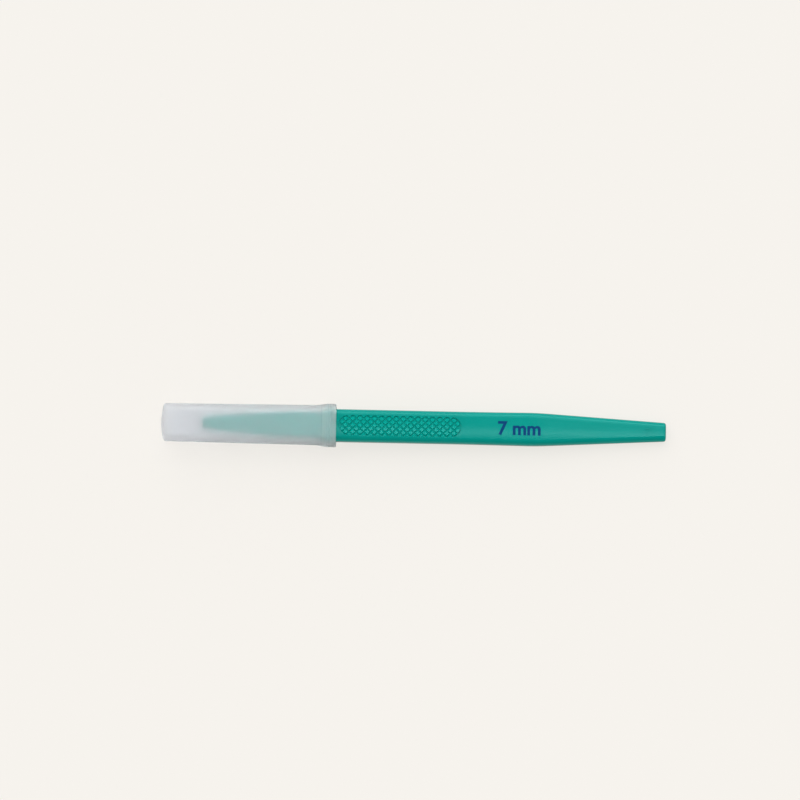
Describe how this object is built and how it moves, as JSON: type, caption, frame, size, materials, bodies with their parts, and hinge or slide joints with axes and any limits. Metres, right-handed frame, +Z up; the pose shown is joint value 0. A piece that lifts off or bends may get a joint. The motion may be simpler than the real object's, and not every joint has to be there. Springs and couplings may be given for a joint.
{
  "type": "dermal curette",
  "caption": "Slim moulded hand instrument with a knurled grip, a ring blade in its nose for scraping small skin growths, and a frosted cap that pushes over the blade.",
  "frame": {"origin": "centre of the bounding box, on the surface that the collar of the cap rests on", "axes": "+X along the instrument from the capped blade to the butt, +Z up out of the upper broad face"},
  "size_m": [0.1412, 0.012, 0.0079],
  "materials": {
    "handle_plastic": "glossy moulded green plastic",
    "blade_steel": "ground stainless strip",
    "cap_plastic": "frosted translucent plastic"
  },
  "bodies": {
    "handle": {"handle": "handle_plastic", "curette_blade": "blade_steel"},
    "cap": {"protective_cap": "cap_plastic"}
  },
  "joints": [
    {"name": "cap_pull_off", "type": "slide", "parent": "handle", "child": "cap", "axis": [-1, 0, 0], "range_m": [0, 0.05]}
  ]
}
